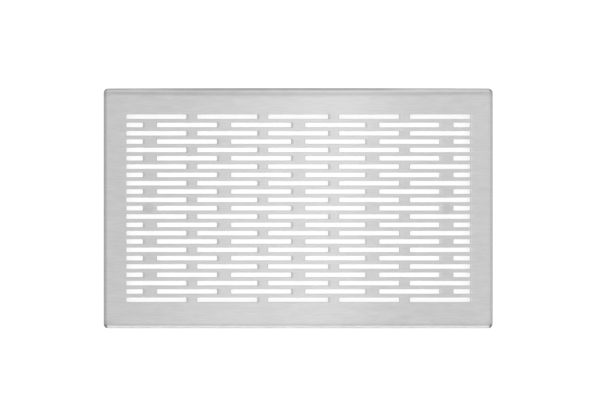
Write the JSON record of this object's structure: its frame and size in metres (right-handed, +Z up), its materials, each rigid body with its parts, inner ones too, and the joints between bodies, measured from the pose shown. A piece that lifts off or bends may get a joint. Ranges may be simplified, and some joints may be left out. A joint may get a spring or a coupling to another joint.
{
  "type": "queen excluder",
  "caption": "Flat slotted steel sheet with a turned-down rim and small studs beneath, laid between hive boxes so that worker bees pass through and the queen does not.",
  "frame": {"origin": "middle of the plane that the rim's lower edge and the studs' tips stand on", "axes": "+Z up through the deck, +X along the slots and the long sides, +Y across the rows of slots"},
  "size_m": [0.363, 0.2242, 0.009],
  "materials": {
    "brushed_sheet": "satin stainless sheet, brushed along its length, with soft reflections",
    "stud_steel": "turned stainless stud with fine rings and a dull weld at its flange"
  },
  "bodies": {
    "root": {"slotted_panel": "brushed_sheet", "left_support_stud": "stud_steel", "right_support_stud": "stud_steel"}
  },
  "joints": []
}
